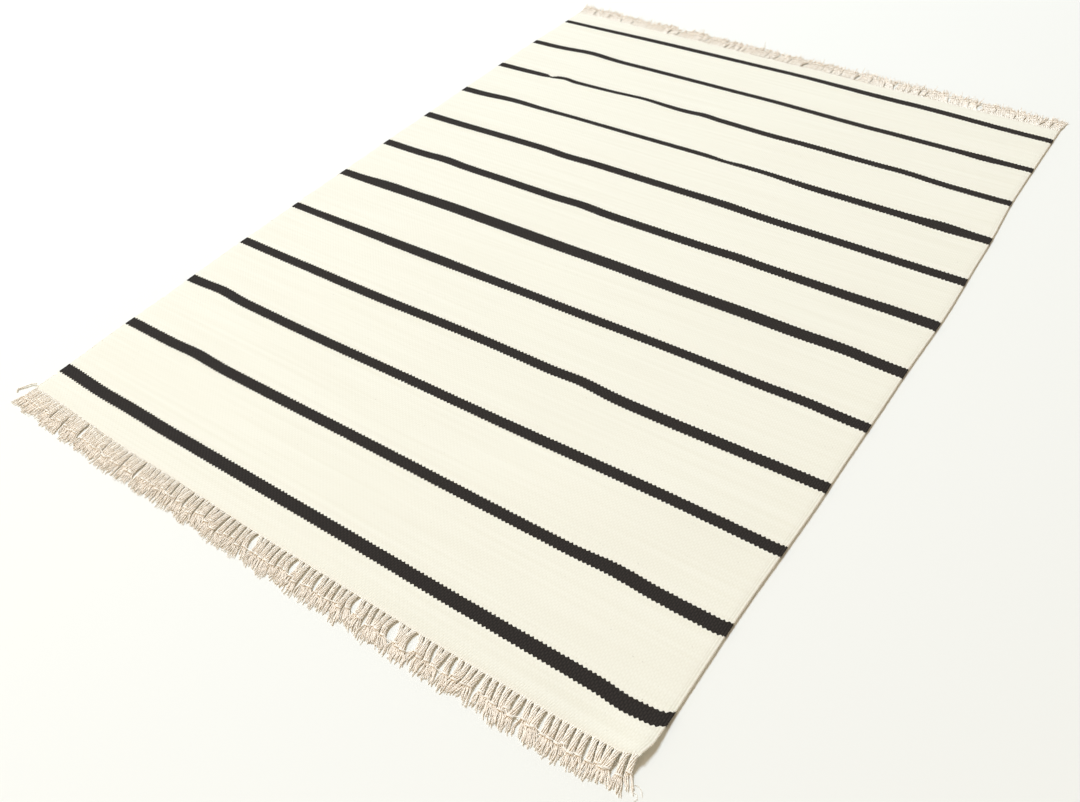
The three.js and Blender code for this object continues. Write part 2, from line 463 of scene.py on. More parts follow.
def cloth_x(across, along):
    """X on the cloth, from shares of its width and its length."""
    left = -FIELD_WIDTH / 2 + eased(SELVEDGES, "left", along)
    right = FIELD_WIDTH / 2 - eased(SELVEDGES, "right", along)
    return left + (right - left) * across


def lift(x, y):
    """The height of the cloth's underside above the floor."""
    height = np.zeros(np.broadcast(x, y).shape)
    for ripple in RIPPLES:
        turn = math.radians(ripple["turn"])
        from_x = x - ripple["middle"][0]
        from_y = y - ripple["middle"][1]
        along = from_x * math.cos(turn) + from_y * math.sin(turn)
        across = from_y * math.cos(turn) - from_x * math.sin(turn)
        away = (along / ripple["long"]) ** 2 + (across / ripple["wide"]) ** 2
        height += ripple["high"] * np.maximum(0, 1 - away) ** 2
    corner_x = cloth_x(1.0, 0.0)
    corner_y = end_lines(1.0)[0]
    distance = np.hypot(x - corner_x, y - corner_y)
    return height + CURL_HEIGHT * np.maximum(0, 1 - distance / CURL_REACH) ** 2


def band_edges(number, across):
    """The near and the far edge of one black band along Y, without the weave's teeth."""
    band = BANDS[number]
    x = (across - 0.5) * FIELD_WIDTH
    stations = [
        {"at": at, "shift": shift, "width": width}
        for at, shift, width in zip(STATIONS, band["shift"], band["width"])
    ]
    shift = eased(stations, "shift", x)
    width = eased(stations, "width", x)
    for row in WAVERS:
        waver = dict(zip(WAVER_COLUMNS, row))
        if waver["band"] == number:
            strength = np.exp(-(((x - mm(waver["at"])) / mm(waver["reach"])) ** 2))
            shift = shift + mm(waver["shift"]) * strength
            width = width + mm(waver["widen"]) * strength
    from_right = (1 - across) * FIELD_WIDTH
    shift = shift + band["hook"] * np.maximum(0, 1 - from_right / HOOK_REACH) ** 2
    middle = FIRST_BAND_Y + number * BAND_PITCH + shift
    return middle - width / 2, middle + width / 2


# Columns across the cloth: a valley and two shoulders for each rib, closed by one last valley
COLUMNS = WARPS * POINTS_PER_RIB + 1
ACROSS = np.arange(COLUMNS) / (COLUMNS - 1)
RIB = np.minimum(np.arange(COLUMNS) // POINTS_PER_RIB, WARPS - 1)
IN_RIB = np.arange(COLUMNS) % POINTS_PER_RIB
RIB_DROP = np.array(SHOULDER_DROP)[IN_RIB]
TOOTH_SIZES = np.random.default_rng(TOOTH_SEED).uniform(1 - TOOTH_SPREAD, 1 + TOOTH_SPREAD, WARPS)[RIB]
TEETH = np.where(RIB % 2 == 0, 1, -1) * (IN_RIB > 0) * TOOTH_SIZES * TOOTH
FROM_SELVEDGE = np.minimum(RIB, WARPS - 1 - RIB)
SELVEDGE_FALL = SELVEDGE_DROP * np.clip(1 - FROM_SELVEDGE / SELVEDGE_RIBS, 0, 1) ** 2

# A ring round the cloth: the underside's columns, the right side, the top's columns and the left side
UNDERSIDE = np.linspace(0, COLUMNS - 1, UNDERSIDE_STEPS + 1).round().astype(int)
SIDE_POINTS = len(SIDE_SHARES)
TOP_START = UNDERSIDE_STEPS + 1 + SIDE_POINTS


def cloth_ring(y, dip, rib_depth):
    """One ring round the cloth at a row: the underside from left to right, then the top back to the left.
    Returns its points, with their place in the weave: ribs across and beads along."""
    near, far = end_lines(ACROSS)
    x = cloth_x(ACROSS, (y - near) / (far - near))
    low = lift(x, y)
    from_end = np.minimum(y - near, far - y)
    taper = END_TAPER * np.clip(1 - from_end / END_TAPER_REACH, 0, 1) ** 2
    top = low + FIELD_THICKNESS - SELVEDGE_FALL - rib_depth * RIB_DROP - dip - taper
    upper = np.stack([x, y, top], axis=1)[::-1]
    lower = np.stack([x, y, low], axis=1)[UNDERSIDE]
    sides = []
    for end, out in ((-1, SELVEDGE_BULGE), (0, -SELVEDGE_BULGE)):
        heights = low[end] + FIELD_THICKNESS * np.array(SIDE_SHARES)
        edge = np.array([[x[end] + out, y[end], height] for height in heights])
        sides.append(edge if end == -1 else edge[::-1])
    points = np.concatenate([lower, sides[0], upper, sides[1]])
    upper_ribs = np.arange(COLUMNS)[::-1] / POINTS_PER_RIB
    ribs = np.concatenate([UNDERSIDE / POINTS_PER_RIB, [WARPS] * SIDE_POINTS, upper_ribs, [0] * SIDE_POINTS])
    return points, np.stack([ribs, points[:, 1] / BEAD_LENGTH], axis=1)


def seam_line(ring):
    """The line that closes a ring under its ribs: one point in each valley, part way down."""
    valleys = ring[TOP_START : TOP_START + COLUMNS][::-1][::POINTS_PER_RIB].copy()
    valleys[:, 2] -= FIELD_THICKNESS * (1 - SEAM_HEIGHT_SHARE)
    return valleys


def ring_cap(first, seam, size):
    """The faces that close a ring: a toothed seam under the ribs, then one polygon for each underside step.
    First is the ring's first point, and seam the first point of its seam line."""
    top = first + TOP_START + COLUMNS - 1
    faces = []
    for rib in range(WARPS):
        left = top - rib * POINTS_PER_RIB
        here = seam + rib
        faces.append([here, left - 1, left])
        faces.append([here, here + 1, left - 2, left - 1])
        faces.append([here + 1, left - 3, left - 2])
    ribs_per_step = WARPS // UNDERSIDE_STEPS
    for step in range(UNDERSIDE_STEPS):
        face = [first + step, first + step + 1]
        if step == UNDERSIDE_STEPS - 1:
            face += range(first + UNDERSIDE_STEPS + 1, first + TOP_START + 1)
        face += range(seam + (step + 1) * ribs_per_step, seam + step * ribs_per_step - 1, -1)
        if step == 0:
            face += range(top, first + size)
        faces.append(face)
    return faces


def woven_mesh(name, strips, rib_depth):
    """A mesh of closed strips of cloth. Each strip is a list of rows, and each row its line along Y and
    its dip."""
    points = []
    weave = []
    faces = []
    caps = []
    count = 0
    for rows in strips:
        rings = [cloth_ring(y, dip, rib_depth) for y, dip in rows]
        size = len(rings[0][0])
        last = count + (len(rings) - 1) * size
        seam = last + size
        around = np.arange(size)
        following = (around + 1) % size
        for first in range(count, last, size):
            corners = [first + around, first + size + around, first + size + following, first + following]
            faces += np.stack(corners, axis=1).tolist()
        caps += ring_cap(count, seam, size)
        caps += [face[::-1] for face in ring_cap(last, seam + WARPS + 1, size)]
        lines = [seam_line(rings[0][0]), seam_line(rings[-1][0])]
        points += [ring[0] for ring in rings] + lines
        weave += [ring[1] for ring in rings] + [np.zeros((WARPS + 1, 2))] * 2
        count = seam + 2 * (WARPS + 1)
    mesh = bpy.data.meshes.new(name)
    mesh.from_pydata(np.concatenate(points), [], faces + caps)
    crease_caps(mesh, len(faces))
    store_weave_place(mesh, np.concatenate(points), np.concatenate(weave))
    mesh.update()
    return mesh


def crease_caps(mesh, first_cap):
    """Smooth shading over the cloth, with sharp edges round every cap."""
    smooth = np.arange(len(mesh.polygons)) < first_cap
    mesh.polygons.foreach_set("use_smooth", smooth)
    corners = np.empty(len(mesh.polygons), dtype=np.int32)
    mesh.polygons.foreach_get("loop_total", corners)
    edges = np.empty(len(mesh.loops), dtype=np.int32)
    mesh.loops.foreach_get("edge_index", edges)
    sharp = np.zeros(len(mesh.edges), dtype=bool)
    sharp[edges[np.repeat(~smooth, corners)]] = True
    mesh.attributes.new("sharp_edge", "BOOLEAN", "EDGE").data.foreach_set("value", sharp)


def store_weave_place(mesh, points, weave):
    """The UV map that the weave follows, and how worn each point is."""
    corners = np.empty(len(mesh.loops), dtype=np.int32)
    mesh.loops.foreach_get("vertex_index", corners)
    uv = mesh.uv_layers.new(name="weave")
    uv.uv.foreach_set("vector", weave[corners].ravel().astype(np.float32))
    across = np.clip(points[:, 0] / FIELD_WIDTH + 0.5, 0, 1)
    near, far = end_lines(across)
    from_end = np.minimum(points[:, 1] - near, far - points[:, 1])
    store_wear(mesh, WORN_END_SHARE * np.clip(1 - from_end / WORN_END_REACH, 0, 1))


def store_wear(mesh, worn):
    """How worn each point of a mesh is, from 0 to 1."""
    mesh.attributes.new("worn", "FLOAT", "POINT").data.foreach_set("value", worn.astype(np.float32))


def cream_strips():
    """The cream cloth between the bands: straight rows inside, toothed rows where it meets black weft."""
    near, far = end_lines(ACROSS)
    edges = [near]
    for number in range(len(BANDS)):
        edges += band_edges(number, ACROSS)
    edges.append(far)
    strips = []
    for low, high in zip(edges[0::2], edges[1::2]):
        rows = [low + (high - low) * row / CREAM_ROWS for row in range(CREAM_ROWS + 1)]
        if low is near:
            rows[1:1] = [low + step for step in END_ROWS]
        else:
            rows[0] = rows[0] + TEETH
        if high is far:
            rows[-1:-1] = [high - step for step in reversed(END_ROWS)]
        else:
            rows[-1] = rows[-1] + TEETH
        strips.append([(row, 0.0) for row in rows])
    return strips


def black_strips():
    """The black bands: every row keeps the teeth, and every other row dips between two beads."""
    strips = []
    for number in range(len(BANDS)):
        low, high = band_edges(number, ACROSS)
        rows = []
        for row in range(BLACK_ROWS + 1):
            inside = 0 < row < BLACK_ROWS
            dip = BEAD_DEPTH if inside and row % 2 == 0 else 0.0
            rows.append((low + (high - low) * row / BLACK_ROWS + TEETH, dip))
        strips.append(rows)
    return strips


def fringe_edge(fringe, across):
    """Where a fringe meets the cloth, at a share of the width."""
    along = 1.0 if fringe["outward"] > 0 else 0.0
    near, far = end_lines(across)
    x = cloth_x(across, along)
    y = far if along else near
    return float(x), float(y), float(lift(x, y))


def lock_plan(fringe, rng):
    """What sets each lock apart: its place, length and tie, and how it leans, bows, parts, gathers
    and sways."""
    locks = []
    shared = np.full(LEAN_SHARED_BY, 1 / LEAN_SHARED_BY)
    drift = np.convolve(rng.normal(0, LEAN_SPREAD, LOCK_COUNT), shared, "same")
    for number in range(LOCK_COUNT):
        share = (number + 0.5) / LOCK_COUNT
        across = share - LOCK_CROWDING * math.sin(2 * math.pi * share) / (2 * math.pi)
        lean = drift[number]
        for sweep in fringe["sweeps"]:
            lean += sweep["lean"] * math.exp(-(((across - sweep["at"]) / sweep["reach"]) ** 2))
        lock = {"across": across, "lean": lean, "gather": 0.0}
        lock["fullness"] = float(eased(fringe["fullness"], "share", across))
        lock["bow"] = push_aside(fringe["partings"], across)
        lock["split"] = push_aside(fringe["splits"], across)
        lock["length"] = fringe["length"] + LOCK_LENGTH_SPREAD * rng.uniform(-1, 1)
        lock["tie"] = TIE_SHARE + TIE_SHARE_SPREAD * rng.uniform(-1, 1)
        lock["sway"] = rng.normal(0, LOCK_SWAY)
        locks.append(lock)
    gather_locks(locks, rng)
    return locks


def push_aside(openings, across):
    """How far openings push a lock sideways, at a share of the width."""
    pushed = 0.0
    for opening in openings:
        distance = (across - opening["at"]) * FIELD_WIDTH
        pushed += math.copysign(opening["open"], distance) * math.exp(-((distance / PARTING_REACH) ** 2))
    return pushed


def gather_locks(locks, rng):
    """Draws neighbouring locks a little together at their ties, a few at a time."""
    first = 0
    while first < len(locks):
        group = locks[first : first + rng.integers(1, MOST_GATHERED + 1)]
        middle = sum(lock["across"] for lock in group) / len(group)
        share = rng.uniform(0, GATHER_SHARE)
        for lock in group:
            lock["gather"] = (middle - lock["across"]) * FIELD_WIDTH * share
        first += len(group)


def lock_middle(fringe, lock, out):
    """The middle line of a lock along the floor, at shares of its length: X, Y and the height of what
    it lies on."""
    edge_x, edge_y, edge_z = fringe_edge(fringe, lock["across"])
    x = edge_x + lock["lean"] * out**LEAN_CURVE
    x = x + lock["split"] * np.clip(out, 0, 1) ** 2
    x = x + lock["bow"] * np.sin(math.pi * np.minimum(out / PARTING_SHARE, 1))
    past_tie = np.clip(out - lock["tie"], 0, GATHER_FADE_REACH) / GATHER_FADE_REACH
    gathered = np.clip(out / lock["tie"], 0, 1) ** 2 * (1 - GATHER_FADE * past_tie)
    x = x + lock["gather"] * gathered
    x = x + lock["sway"] * np.sin(math.pi * out)
    reach = lock["length"] - edge_z
    tuck = ROOT_TUCK * np.maximum(0, 1 - out / ROOT_TUCK_SHARE)
    y = edge_y + fringe["outward"] * (reach * out - tuck)
    return x, y, edge_z * np.maximum(0, 1 - out / SETTLED_SHARE)


def lock_yarns(fringe, lock, rng):
    """The yarns of one lock: twisted into a cord as far as the tie, and fanned over the floor past it.
    Each is a centre line, with how thick the yarn is at every point."""
    phase = rng.uniform(0, 2 * math.pi)
    numbers = np.arange(YARNS_PER_LOCK)
    inner = numbers < INNER_YARNS
    size = np.where(inner, INNER_SHARE, 1.0)
    start = phase + 2 * math.pi * numbers / np.where(inner, INNER_YARNS, YARNS_PER_LOCK - INNER_YARNS)
    rank = np.argsort(np.argsort(size * np.cos(start + 2 * math.pi * CORD_TURNS)))
    yarns = []
    for yarn in numbers:
        cord = np.linspace(0, lock["tie"], CORD_POINTS, endpoint=False)
        out = np.concatenate([cord, np.linspace(lock["tie"], rng.uniform(*LOOSE_STOPS), LOOSE_POINTS)])
        loose = np.maximum(0, out - lock["tie"]) / (1 - lock["tie"])
        spread = np.sin(math.pi / 2 * np.minimum(loose / LOOSE_SPREAD_SHARE, 1))
        angle = start[yarn] + 2 * math.pi * CORD_TURNS * np.minimum(out / lock["tie"], 1)
        from_middle = (rank[yarn] + 0.5) / YARNS_PER_LOCK - 0.5
        fan = from_middle * LOOSE_SPREAD * LOCK_PITCH + rng.normal(0, LOOSE_STRAY)
        curl = LOOSE_CURL * loose * np.sin(rng.uniform(*CURL_WAVES) * loose + rng.uniform(*CURL_STARTS))
        layer = LOOSE_LAYER * (rank[yarn] % 2) * (1 - LOOSE_LAYER_FADE * np.minimum(loose, 1))
        rise = min(rng.exponential(fringe["wisp"]), HIGHEST_WISP) * loose**2
        thick = eased(LOCK_SECTIONS, "yarn", out)
        high = eased(LOCK_SECTIONS, "high", out)
        wide = lock["fullness"] * eased(LOCK_SECTIONS, "wide", out)
        x, y, floor = lock_middle(fringe, lock, out)
        x = x + (1 - spread) * size[yarn] * wide * np.cos(angle) + spread * fan + curl
        above = (1 - spread) * high * (1 + size[yarn] * np.sin(angle)) + spread * layer
        yarns.append((np.stack([x, y, floor + YARN_RADIUS * thick + above + rise], axis=1), thick))
    return yarns


def lock_tie(fringe, lock):
    """The short yarn that is wound round a lock."""
    turn = np.linspace(0, 2 * math.pi * TIE_TURNS, TIE_POINTS)
    out = np.full(TIE_POINTS, lock["tie"])
    x, y, floor = lock_middle(fringe, lock, out)
    wide = eased(LOCK_SECTIONS, "wide", out) + YARN_RADIUS
    high = eased(LOCK_SECTIONS, "high", out) + YARN_RADIUS
    along = fringe["outward"] * TIE_ADVANCE * (turn / turn[-1] - 0.5)
    above = floor + YARN_RADIUS + high * (1 + TIE_HEIGHT_SHARE * np.sin(turn))
    points = np.stack([x + wide * np.cos(turn), y + along, above], axis=1)
    return points, np.full(TIE_POINTS, TIE_RADIUS_SHARE)


def tie_bridge(fringe, lock, following, rng):
    """A yarn that crosses from one lock's tie to the next."""
    ends = []
    for each in (lock, following):
        x, y, floor = lock_middle(fringe, each, np.array([each["tie"]]))
        top = floor[0] + 2 * eased(LOCK_SECTIONS, "high", each["tie"]) + 2 * YARN_RADIUS
        ends.append([x[0], y[0], top])
    share = np.linspace(-BRIDGE_OVERLAP, 1 + BRIDGE_OVERLAP, BRIDGE_POINTS)[:, None]
    points = np.array(ends[0]) * (1 - share) + np.array(ends[1]) * share
    between = np.sin(math.pi * np.clip(share[:, 0], 0, 1))
    points[:, 1] += rng.normal(0, BRIDGE_STRAY) * between
    points[:, 2] -= BRIDGE_SAG * between
    return points, np.full(len(points), TIE_RADIUS_SHARE)


def stray_thread(fringe, stray):
    """One loose thread beside a corner of the cloth."""
    x, y, _ = fringe_edge(fringe, stray["corner"])
    points = np.array([(x + right, y + fringe["outward"] * out, up) for right, out, up in stray["path"]])
    return points, np.full(len(points), stray["thick"])


def fringe_guides(fringe):
    """The centre lines of all the yarn of one fringe, as a curve object of straight-stepped splines."""
    rng = np.random.default_rng(fringe["seed"])
    locks = lock_plan(fringe, rng)
    lines = [stray_thread(fringe, stray) for stray in fringe["strays"]]
    for number, lock in enumerate(locks):
        lines += lock_yarns(fringe, lock, rng)
        lines.append(lock_tie(fringe, lock))
        if rng.random() < BRIDGED_SHARE and number + 1 < LOCK_COUNT:
            lines.append(tie_bridge(fringe, lock, locks[number + 1], rng))
    curve = bpy.data.curves.new(fringe["name"], "CURVE")
    curve.dimensions = "3D"
    for points, thick in lines:
        spline = curve.splines.new("POLY")
        spline.points.add(len(points) - 1)
        spline.points.foreach_set("co", np.column_stack([points, np.ones(len(points))]).ravel())
        spline.points.foreach_set("radius", thick)
    return new_object(fringe["name"] + "_guides", curve)


def turn_guides(name, on_black):
    """A point for each turn of weft along both selvedges, on the black bands or between them."""
    points = []
    facing = []
    for across, outward in ((0.0, -1), (1.0, 1)):
        near, far = end_lines(across)
        lines = np.arange(near + TURN_PITCH, far - TURN_PITCH / 2, TURN_PITCH)
        in_band = np.zeros(len(lines), dtype=bool)
        for number in range(len(BANDS)):
            low, high = band_edges(number, across)
            in_band |= (lines > low) & (lines < high)
        for y in lines[in_band == on_black]:
            x = cloth_x(across, (y - near) / (far - near))
            points.append((x - outward * TURN_INSET, y, lift(x, y) + FIELD_THICKNESS / 2))
            facing.append((0, 0, 0 if outward > 0 else math.pi))
    mesh = bpy.data.meshes.new(name)
    mesh.from_pydata(points, [], [])
    mesh.attributes.new("facing", "FLOAT_VECTOR", "POINT").data.foreach_set("vector", np.ravel(facing))
    store_wear(mesh, np.full(len(points), WORN_TURN_SHARE))
    return new_object(name + "_guides", mesh)


def new_object(name, data):
    """A new object in the scene, at the origin."""
    piece = bpy.data.objects.new(name, data)
    bpy.context.scene.collection.objects.link(piece)
    return piece


def grown_mesh(guides, tree, name, values):
    """What a tree grows on a guide object, as an object with a plain mesh. Values are named inputs of
    the tree."""
    modifier = guides.modifiers.new(tree.name, "NODES")
    modifier.node_group = tree
    sockets = {item.name: item.identifier for item in tree.interface.items_tree if item.in_out == "INPUT"}
    for socket, value in values.items():
        modifier[sockets[socket]] = value
    depsgraph = bpy.context.evaluated_depsgraph_get()
    mesh = bpy.data.meshes.new_from_object(guides.evaluated_get(depsgraph), depsgraph=depsgraph)
    mesh.name = name
    bpy.data.objects.remove(guides)
    return new_object(name, mesh)


def add_socket(tree, name, kind, direction="INPUT", value=None):
    """A named socket on a node group's interface."""
    socket = tree.interface.new_socket(name=name, in_out=direction, socket_type=kind)
    if value is not None:
        socket.default_value = value


def set_inputs(tree, node, inputs):
    """Links a node's inputs to sockets, or sets them to values."""
    for name, value in inputs.items():
        if isinstance(value, bpy.types.NodeSocket):
            tree.links.new(value, node.inputs[name])
        else:
            node.inputs[name].default_value = value


def add_node(tree, kind, inputs=(), **settings):
    """Adds a node with its settings and inputs, and returns its outputs."""
    node = tree.nodes.new(kind)
    for setting, value in settings.items():
        setattr(node, setting, value)
    set_inputs(tree, node, dict(inputs))
    return node.outputs


def stored(tree, geometry, name, value, data_type="FLOAT", domain="POINT"):
    """Geometry that keeps a value as a named attribute."""
    inputs = {"Geometry": geometry, "Name": name, "Value": value}
    kind = "GeometryNodeStoreNamedAttribute"
    return add_node(tree, kind, inputs, data_type=data_type, domain=domain)["Geometry"]


def give_dyed(tree, geometry, material, output):
    """Ends a tree: geometry takes a material and leaves by a named output."""
    dyed = add_node(tree, "GeometryNodeSetMaterial", {"Geometry": geometry, "Material": material})
    add_node(tree, "NodeGroupOutput", {output: dyed["Geometry"]})


def yarn_tree():
    """Geometry Nodes: a round yarn along every guide, with a shade of its own and a place along and
    round it."""
    tree = bpy.data.node_groups.new("Yarn along guides", "GeometryNodeTree")
    add_socket(tree, "Guides", "NodeSocketGeometry")
    add_socket(tree, "Yarn radius", "NodeSocketFloat", value=YARN_RADIUS)
    add_socket(tree, "Sides", "NodeSocketInt", value=YARN_SIDES)
    add_socket(tree, "Seed", "NodeSocketInt", value=1)
    add_socket(tree, "Material", "NodeSocketMaterial")
    add_socket(tree, "Yarns", "NodeSocketGeometry", "OUTPUT")
    given = add_node(tree, "NodeGroupInput")

    index = add_node(tree, "GeometryNodeInputIndex")["Index"]
    shade = add_node(tree, "FunctionNodeRandomValue", {"ID": index, "Seed": given["Seed"]})[1]
    guides = stored(tree, given["Guides"], "yarn_shade", shade, domain="CURVE")
    along = add_node(tree, "GeometryNodeSplineParameter")["Length"]
    guides = stored(tree, guides, "yarn_along", along)

    circle = {"Resolution": given["Sides"], "Radius": given["Yarn radius"]}
    section = add_node(tree, "GeometryNodeCurvePrimitiveCircle", circle)["Curve"]
    around = add_node(tree, "GeometryNodeInputPosition")["Position"]
    section = stored(tree, section, "yarn_around", around, data_type="FLOAT_VECTOR")

    radius = add_node(tree, "GeometryNodeInputRadius")["Radius"]
    sweep = {"Curve": guides, "Profile Curve": section, "Scale": radius, "Fill Caps": True}
    yarns = add_node(tree, "GeometryNodeCurveToMesh", sweep)["Mesh"]
    yarns = add_node(tree, "GeometryNodeSetShadeSmooth", {"Geometry": yarns})["Geometry"]
    yarns = add_node(tree, "GeometryNodeRealizeInstances", {"Geometry": yarns})["Geometry"]
    give_dyed(tree, yarns, given["Material"], "Yarns")
    return tree


def turn_tree():
    """Geometry Nodes: a half ring of weft at every point, each a little different in size."""
    tree = bpy.data.node_groups.new("Weft turns", "GeometryNodeTree")
    add_socket(tree, "Points", "NodeSocketGeometry")
    add_socket(tree, "Reach", "NodeSocketFloat", value=TURN_REACH)
    add_socket(tree, "Height", "NodeSocketFloat", value=TURN_HEIGHT)
    add_socket(tree, "Yarn radius", "NodeSocketFloat", value=TURN_RADIUS)
    add_socket(tree, "Widening", "NodeSocketFloat", value=TURN_WIDENING)
    add_socket(tree, "Seed", "NodeSocketInt", value=1)
    add_socket(tree, "Material", "NodeSocketMaterial")
    add_socket(tree, "Turns", "NodeSocketGeometry", "OUTPUT")
    given = add_node(tree, "NodeGroupInput")

    half_turn = {"Start Angle": -math.pi / 2, "Sweep Angle": math.pi}
    half_ring = {"Resolution": TURN_POINTS, "Radius": 1.0, **half_turn}
    arc = add_node(tree, "GeometryNodeCurveArc", half_ring)["Curve"]
    axes = add_node(tree, "ShaderNodeCombineXYZ", {"X": given["Reach"], "Y": given["Height"]})["Vector"]
    upright = {"Geometry": arc, "Rotation": (math.pi / 2, 0, 0), "Scale": axes}
    path = add_node(tree, "GeometryNodeTransform", upright)["Geometry"]
    circle = {"Resolution": TURN_SIDES, "Radius": given["Yarn radius"]}
    section = add_node(tree, "GeometryNodeCurvePrimitiveCircle", circle)["Curve"]
    sweep = {"Curve": path, "Profile Curve": section, "Fill Caps": True}
    turn = add_node(tree, "GeometryNodeCurveToMesh", sweep)["Mesh"]
    wider = add_node(tree, "ShaderNodeCombineXYZ", {"X": 1.0, "Y": given["Widening"], "Z": 1.0})["Vector"]
    turn = add_node(tree, "GeometryNodeTransform", {"Geometry": turn, "Scale": wider})["Geometry"]

    facing = add_node(tree, "GeometryNodeInputNamedAttribute", {"Name": "facing"}, data_type="FLOAT_VECTOR")
    smallest, largest = TURN_SIZES
    size = add_node(tree, "FunctionNodeRandomValue", {2: smallest, 3: largest, "Seed": given["Seed"]})[1]
    placing = {"Points": given["Points"], "Instance": turn, "Rotation": facing["Attribute"], "Scale": size}
    turns = add_node(tree, "GeometryNodeInstanceOnPoints", placing)["Instances"]
    turns = add_node(tree, "GeometryNodeRealizeInstances", {"Geometry": turns})["Geometry"]
    turns = add_node(tree, "GeometryNodeSetShadeSmooth", {"Geometry": turns})["Geometry"]
    turns = stored(tree, turns, "weave", BEAD_MIDDLE, data_type="FLOAT2", domain="CORNER")
    give_dyed(tree, turns, given["Material"], "Turns")
    return tree


def math_node(tree, operation, *values):
    """The result of a Math node on sockets or numbers."""
    return add_node(tree, "ShaderNodeMath", enumerate(values), operation=operation)[0]


def half_waves(tree, value):
    """One half wave for each whole step of a value: 0 at its ends and 1 in its middle."""
    angle = math_node(tree, "MULTIPLY", value, math.pi)
    return math_node(tree, "ABSOLUTE", math_node(tree, "SINE", angle))


def noise(tree, vector, scale, detail, stretch=(1, 1, 1)):
    """A noise value on a coordinate, stretched along its axes."""
    place = add_node(tree, "ShaderNodeMapping", {"Vector": vector, "Scale": stretch})["Vector"]
    return add_node(tree, "ShaderNodeTexNoise", {"Vector": place, "Scale": scale, "Detail": detail})["Fac"]


def mixed(tree, factor, first, second, blend="MIX"):
    """A colour mix of sockets or colours."""
    inputs = {0: factor, 6: first, 7: second}
    return add_node(tree, "ShaderNodeMix", inputs, data_type="RGBA", blend_type=blend)[2]


def ranged(tree, value, low, high, to_low=0.0, to_high=1.0):
    """A value moved from one range to another, held within it."""
    inputs = {"Value": value, "From Min": low, "From Max": high, "To Min": to_low, "To Max": to_high}
    return add_node(tree, "ShaderNodeMapRange", inputs)["Result"]


def object_place(tree):
    """The place on a piece, in the object's own coordinates."""
    return add_node(tree, "ShaderNodeTexCoord")["Object"]


def attribute(tree, name, output="Fac"):
    """A named attribute of a piece, as a value or a vector."""
    return add_node(tree, "ShaderNodeAttribute", attribute_name=name)[output]


def weave_group():
    """Weft-faced weave: beads of weft over each rib, half a bead lower on every other rib, and
    uneven yarn."""
    tree = bpy.data.node_groups.new("Weft-faced weave", "ShaderNodeTree")
    add_socket(tree, "Fibre scale", "NodeSocketFloat", value=CREAM_FIBRE_SCALE)
    for name in ("Height", "Crown", "Streak", "Fibre"):
        add_socket(tree, name, "NodeSocketFloat", "OUTPUT")
    given = add_node(tree, "NodeGroupInput")
    place = add_node(tree, "ShaderNodeUVMap", uv_map="weave")["UV"]
    across, along, _ = add_node(tree, "ShaderNodeSeparateXYZ", {0: place})

    every_other = math_node(tree, "MODULO", math_node(tree, "FLOOR", across), 2.0)
    shifted = math_node(tree, "ADD", along, math_node(tree, "MULTIPLY", every_other, 0.5))
    bead = math_node(tree, "POWER", half_waves(tree, shifted), BEAD_ROUNDNESS)
    rib = math_node(tree, "POWER", half_waves(tree, across), RIB_ROUNDNESS)
    crown = math_node(tree, "MULTIPLY", bead, rib)
    fibre = noise(tree, object_place(tree), given["Fibre scale"], FIBRE_DETAIL)
    streak = noise(tree, object_place(tree), STREAK_SCALE, STREAK_DETAIL, STREAK_STRETCH)
    height = math_node(tree, "ADD", crown, math_node(tree, "MULTIPLY", fibre, FIBRE_RELIEF))
    add_node(tree, "NodeGroupOutput", {"Height": height, "Crown": crown, "Streak": streak, "Fibre": fibre})
    return tree


def new_material(name, constants):
    """A material whose shader has its own constants, with its node tree and its shader."""
    material = bpy.data.materials.new(name)
    material.use_nodes = True
    shader = material.node_tree.nodes["Principled BSDF"]
    set_inputs(material.node_tree, shader, constants)
    return material, material.node_tree, shader


def bump_normal(tree, height, bump):
    """The normal of a relief, from its height and how strong and deep the bump is."""
    return add_node(tree, "ShaderNodeBump", {"Height": height, **bump})["Normal"]


def add_weave(tree, weave, fibre_scale):
    """The weave's outputs in a material."""
    return add_node(tree, "ShaderNodeGroup", {"Fibre scale": fibre_scale}, node_tree=weave)


def cream_wool(weave):
    """Undyed cream wool: paler on the beads and darker between them as painted shade, uneven from one pass
    of weft to the next, with a few dark flecks, and beige where it is worn."""
    material, tree, shader = new_material("cream_wool_weave", SOFT_SHADER)
    cloth = add_weave(tree, weave, CREAM_FIBRE_SCALE)
    # Painted shade: darker between the beads, paler on their crowns
    beads = mixed(tree, cloth["Crown"], CREAM_PAINTED_SHADE, CREAM_BEAD)
    streaks = mixed(tree, ranged(tree, cloth["Streak"], *STREAK_RANGE), CREAM_STREAK, WHITE)
    clean = mixed(tree, 1.0, beads, streaks, "MULTIPLY")
    specks = noise(tree, object_place(tree), FLECK_SCALE, FLECK_DETAIL)
    wool = mixed(tree, ranged(tree, specks, *FLECK_RANGE, 0.0, FLECK_SHARE), clean, FLECK_COLOUR)
    colour = mixed(tree, attribute(tree, "worn"), wool, WORN_COLOUR)
    normal = bump_normal(tree, cloth["Height"], CREAM_BUMP)
    set_inputs(tree, shader, {"Base Color": colour, "Normal": normal})
    return material


def black_wool(weave):
    """Black wool: a little warm, darker between the beads as painted shade, with paler lint on the beads."""
    material, tree, shader = new_material("black_wool_weave", BLACK_SHADER)
    cloth = add_weave(tree, weave, BLACK_FIBRE_SCALE)
    # Painted shade: darker between the beads, paler on their crowns
    beads = mixed(tree, cloth["Crown"], BLACK_PAINTED_SHADE, BLACK_BEAD)
    lint = ranged(tree, cloth["Fibre"], *LINT_RANGE, 0.0, LINT_SHARE)
    colour = mixed(tree, lint, beads, LINT_COLOUR)
    normal = bump_normal(tree, cloth["Height"], BLACK_BUMP)
    set_inputs(tree, shader, {"Base Color": colour, "Normal": normal})
    return material


